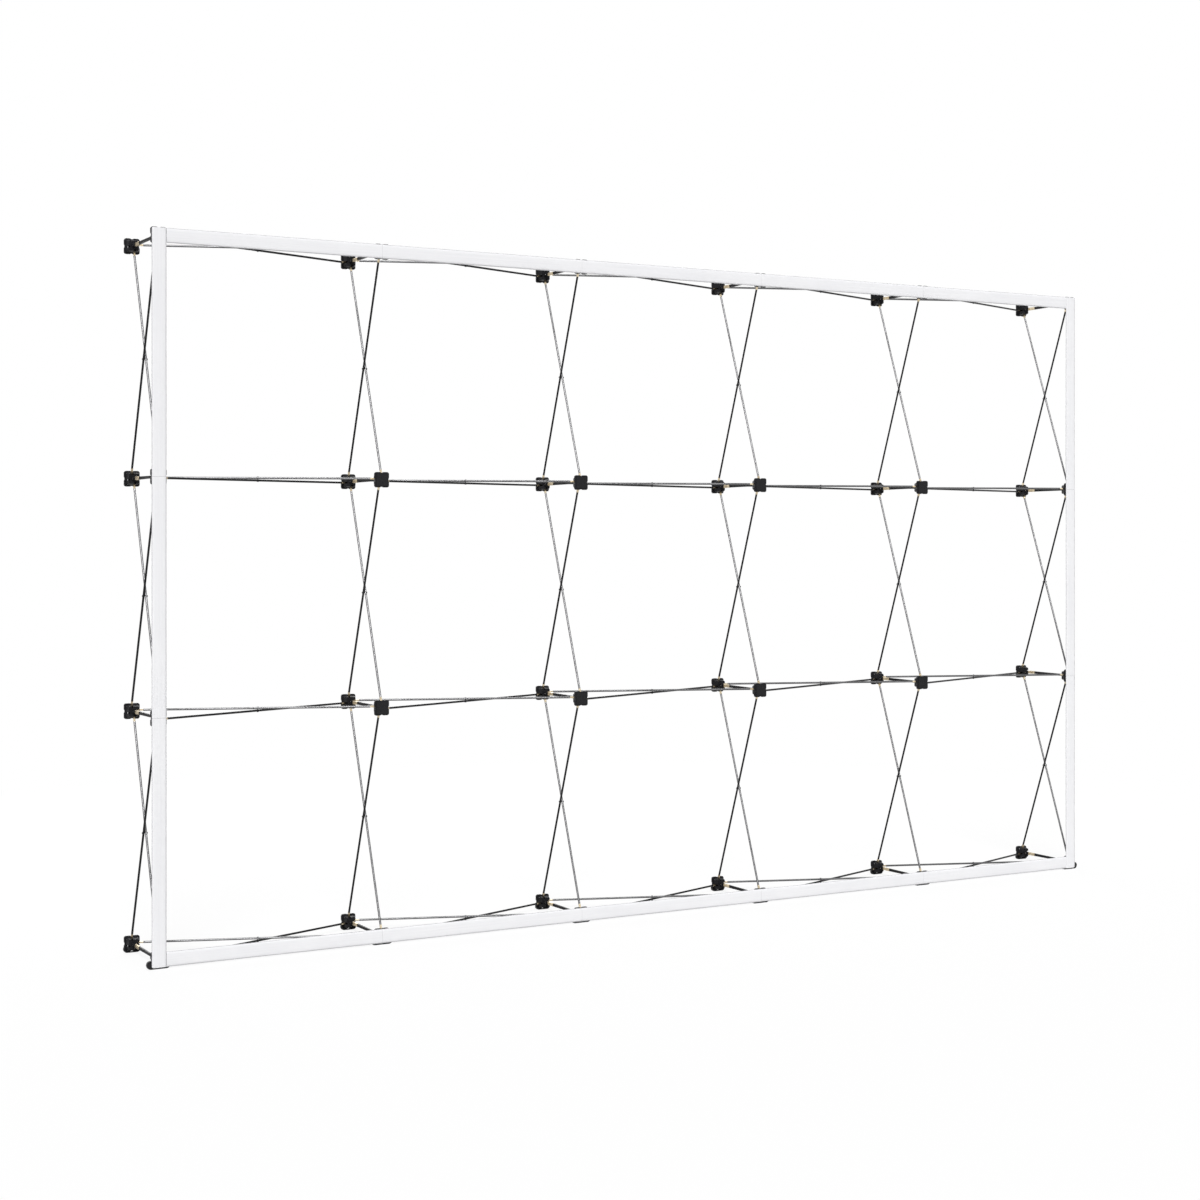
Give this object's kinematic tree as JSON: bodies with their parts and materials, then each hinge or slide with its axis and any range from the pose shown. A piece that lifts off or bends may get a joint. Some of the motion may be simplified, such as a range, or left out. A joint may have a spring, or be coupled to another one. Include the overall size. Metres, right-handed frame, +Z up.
{
  "type": "pop-up display wall",
  "caption": "Free-standing pop-up display frame of slim metal rods crossing between black moulded hubs, with hook-over lock arms and a white loop-tape band round its front.",
  "frame": {"origin": "on the floor, under the middle of the wall's width and depth", "axes": "+X along the wall, to the right as seen from the front; +Y from the front to the back; +Z up"},
  "size_m": [3.7742, 0.2956, 2.273],
  "materials": {
    "hub_plastic": "fine moulded grain",
    "rod_metal": "drawn grey tube",
    "rod_end_metal": "pale plated, satin",
    "pin_steel": "bright",
    "rivet_steel": "dark, satin",
    "arm_plastic": "smooth moulded",
    "hook_tape": "hook tape",
    "loop_tape": "short loop pile",
    "foot_rubber": "smooth, slightly glossy"
  },
  "bodies": {
    "frame": {"back_hubs_bottom": "hub_plastic", "back_hubs_lower": "hub_plastic", "back_hubs_top": "hub_plastic", "back_hubs_upper": "hub_plastic", "column_rods_forward_lower": "rod_metal", "column_rods_forward_middle": "rod_metal", "column_rods_forward_upper": "rod_metal", "column_rods_rearward_lower": "rod_metal", "column_rods_rearward_middle": "rod_metal", "column_rods_rearward_upper": "rod_metal", "crossing_rivets_in_columns": "rivet_steel", "crossing_rivets_in_rows": "rivet_steel", "edge_strip_bottom": "loop_tape", "edge_strip_left": "loop_tape", "edge_strip_right": "loop_tape", "edge_strip_top": "loop_tape", "feet": "foot_rubber", "front_hubs_bottom": "hub_plastic", "front_hubs_lower": "hub_plastic", "front_hubs_top": "hub_plastic", "front_hubs_upper": "hub_plastic", "hook_pads": "hook_tape", "lock_catch_pins": "pin_steel", "lock_hinge_pins": "pin_steel", "pivot_pins_back": "pin_steel", "pivot_pins_front": "pin_steel", "rod_ends_in_columns": "rod_end_metal", "rod_ends_in_rows": "rod_end_metal", "row_rods_forward_bottom": "rod_metal", "row_rods_forward_lower": "rod_metal", "row_rods_forward_top": "rod_metal", "row_rods_forward_upper": "rod_metal", "row_rods_rearward_bottom": "rod_metal", "row_rods_rearward_lower": "rod_metal", "row_rods_rearward_top": "rod_metal", "row_rods_rearward_upper": "rod_metal"},
    "lock_arm_bottom_1": {"lock_arm_bottom_1": "arm_plastic"},
    "lock_arm_bottom_2": {"lock_arm_bottom_2": "arm_plastic"},
    "lock_arm_bottom_3": {"lock_arm_bottom_3": "arm_plastic"},
    "lock_arm_bottom_4": {"lock_arm_bottom_4": "arm_plastic"},
    "lock_arm_bottom_5": {"lock_arm_bottom_5": "arm_plastic"},
    "lock_arm_bottom_6": {"lock_arm_bottom_6": "arm_plastic"},
    "lock_arm_lower_1": {"lock_arm_lower_1": "arm_plastic"},
    "lock_arm_lower_2": {"lock_arm_lower_2": "arm_plastic"},
    "lock_arm_lower_3": {"lock_arm_lower_3": "arm_plastic"},
    "lock_arm_lower_4": {"lock_arm_lower_4": "arm_plastic"},
    "lock_arm_lower_5": {"lock_arm_lower_5": "arm_plastic"},
    "lock_arm_lower_6": {"lock_arm_lower_6": "arm_plastic"},
    "lock_arm_top_1": {"lock_arm_top_1": "arm_plastic"},
    "lock_arm_top_2": {"lock_arm_top_2": "arm_plastic"},
    "lock_arm_top_3": {"lock_arm_top_3": "arm_plastic"},
    "lock_arm_top_4": {"lock_arm_top_4": "arm_plastic"},
    "lock_arm_top_5": {"lock_arm_top_5": "arm_plastic"},
    "lock_arm_top_6": {"lock_arm_top_6": "arm_plastic"},
    "lock_arm_upper_1": {"lock_arm_upper_1": "arm_plastic"},
    "lock_arm_upper_2": {"lock_arm_upper_2": "arm_plastic"},
    "lock_arm_upper_3": {"lock_arm_upper_3": "arm_plastic"},
    "lock_arm_upper_4": {"lock_arm_upper_4": "arm_plastic"},
    "lock_arm_upper_5": {"lock_arm_upper_5": "arm_plastic"},
    "lock_arm_upper_6": {"lock_arm_upper_6": "arm_plastic"}
  },
  "joints": [
    {"name": "lock_arm_bottom_1_lift", "type": "hinge", "parent": "frame", "child": "lock_arm_bottom_1", "pos_m": [-1.85, 0.10975, 0.028], "axis": [-1, 0, 0], "range_deg": [0, 60]},
    {"name": "lock_arm_bottom_2_lift", "type": "hinge", "parent": "frame", "child": "lock_arm_bottom_2", "pos_m": [-1.11, 0.10975, 0.028], "axis": [-1, 0, 0], "range_deg": [0, 60]},
    {"name": "lock_arm_bottom_3_lift", "type": "hinge", "parent": "frame", "child": "lock_arm_bottom_3", "pos_m": [-0.37, 0.10975, 0.028], "axis": [-1, 0, 0], "range_deg": [0, 60]},
    {"name": "lock_arm_bottom_4_lift", "type": "hinge", "parent": "frame", "child": "lock_arm_bottom_4", "pos_m": [0.37, 0.10975, 0.028], "axis": [-1, 0, 0], "range_deg": [0, 60]},
    {"name": "lock_arm_bottom_5_lift", "type": "hinge", "parent": "frame", "child": "lock_arm_bottom_5", "pos_m": [1.11, 0.10975, 0.028], "axis": [-1, 0, 0], "range_deg": [0, 60]},
    {"name": "lock_arm_bottom_6_lift", "type": "hinge", "parent": "frame", "child": "lock_arm_bottom_6", "pos_m": [1.85, 0.10975, 0.028], "axis": [-1, 0, 0], "range_deg": [0, 60]},
    {"name": "lock_arm_lower_1_lift", "type": "hinge", "parent": "frame", "child": "lock_arm_lower_1", "pos_m": [-1.85, 0.10975, 0.768], "axis": [-1, 0, 0], "range_deg": [0, 60]},
    {"name": "lock_arm_lower_2_lift", "type": "hinge", "parent": "frame", "child": "lock_arm_lower_2", "pos_m": [-1.11, 0.10975, 0.768], "axis": [-1, 0, 0], "range_deg": [0, 60]},
    {"name": "lock_arm_lower_3_lift", "type": "hinge", "parent": "frame", "child": "lock_arm_lower_3", "pos_m": [-0.37, 0.10975, 0.768], "axis": [-1, 0, 0], "range_deg": [0, 60]},
    {"name": "lock_arm_lower_4_lift", "type": "hinge", "parent": "frame", "child": "lock_arm_lower_4", "pos_m": [0.37, 0.10975, 0.768], "axis": [-1, 0, 0], "range_deg": [0, 60]},
    {"name": "lock_arm_lower_5_lift", "type": "hinge", "parent": "frame", "child": "lock_arm_lower_5", "pos_m": [1.11, 0.10975, 0.768], "axis": [-1, 0, 0], "range_deg": [0, 60]},
    {"name": "lock_arm_lower_6_lift", "type": "hinge", "parent": "frame", "child": "lock_arm_lower_6", "pos_m": [1.85, 0.10975, 0.768], "axis": [-1, 0, 0], "range_deg": [0, 60]},
    {"name": "lock_arm_top_1_lift", "type": "hinge", "parent": "frame", "child": "lock_arm_top_1", "pos_m": [-1.85, 0.10975, 2.248], "axis": [-1, 0, 0], "range_deg": [0, 60]},
    {"name": "lock_arm_top_2_lift", "type": "hinge", "parent": "frame", "child": "lock_arm_top_2", "pos_m": [-1.11, 0.10975, 2.248], "axis": [-1, 0, 0], "range_deg": [0, 60]},
    {"name": "lock_arm_top_3_lift", "type": "hinge", "parent": "frame", "child": "lock_arm_top_3", "pos_m": [-0.37, 0.10975, 2.248], "axis": [-1, 0, 0], "range_deg": [0, 60]},
    {"name": "lock_arm_top_4_lift", "type": "hinge", "parent": "frame", "child": "lock_arm_top_4", "pos_m": [0.37, 0.10975, 2.248], "axis": [-1, 0, 0], "range_deg": [0, 60]},
    {"name": "lock_arm_top_5_lift", "type": "hinge", "parent": "frame", "child": "lock_arm_top_5", "pos_m": [1.11, 0.10975, 2.248], "axis": [-1, 0, 0], "range_deg": [0, 60]},
    {"name": "lock_arm_top_6_lift", "type": "hinge", "parent": "frame", "child": "lock_arm_top_6", "pos_m": [1.85, 0.10975, 2.248], "axis": [-1, 0, 0], "range_deg": [0, 60]},
    {"name": "lock_arm_upper_1_lift", "type": "hinge", "parent": "frame", "child": "lock_arm_upper_1", "pos_m": [-1.85, 0.10975, 1.508], "axis": [-1, 0, 0], "range_deg": [0, 60]},
    {"name": "lock_arm_upper_2_lift", "type": "hinge", "parent": "frame", "child": "lock_arm_upper_2", "pos_m": [-1.11, 0.10975, 1.508], "axis": [-1, 0, 0], "range_deg": [0, 60]},
    {"name": "lock_arm_upper_3_lift", "type": "hinge", "parent": "frame", "child": "lock_arm_upper_3", "pos_m": [-0.37, 0.10975, 1.508], "axis": [-1, 0, 0], "range_deg": [0, 60]},
    {"name": "lock_arm_upper_4_lift", "type": "hinge", "parent": "frame", "child": "lock_arm_upper_4", "pos_m": [0.37, 0.10975, 1.508], "axis": [-1, 0, 0], "range_deg": [0, 60]},
    {"name": "lock_arm_upper_5_lift", "type": "hinge", "parent": "frame", "child": "lock_arm_upper_5", "pos_m": [1.11, 0.10975, 1.508], "axis": [-1, 0, 0], "range_deg": [0, 60]},
    {"name": "lock_arm_upper_6_lift", "type": "hinge", "parent": "frame", "child": "lock_arm_upper_6", "pos_m": [1.85, 0.10975, 1.508], "axis": [-1, 0, 0], "range_deg": [0, 60]}
  ]
}
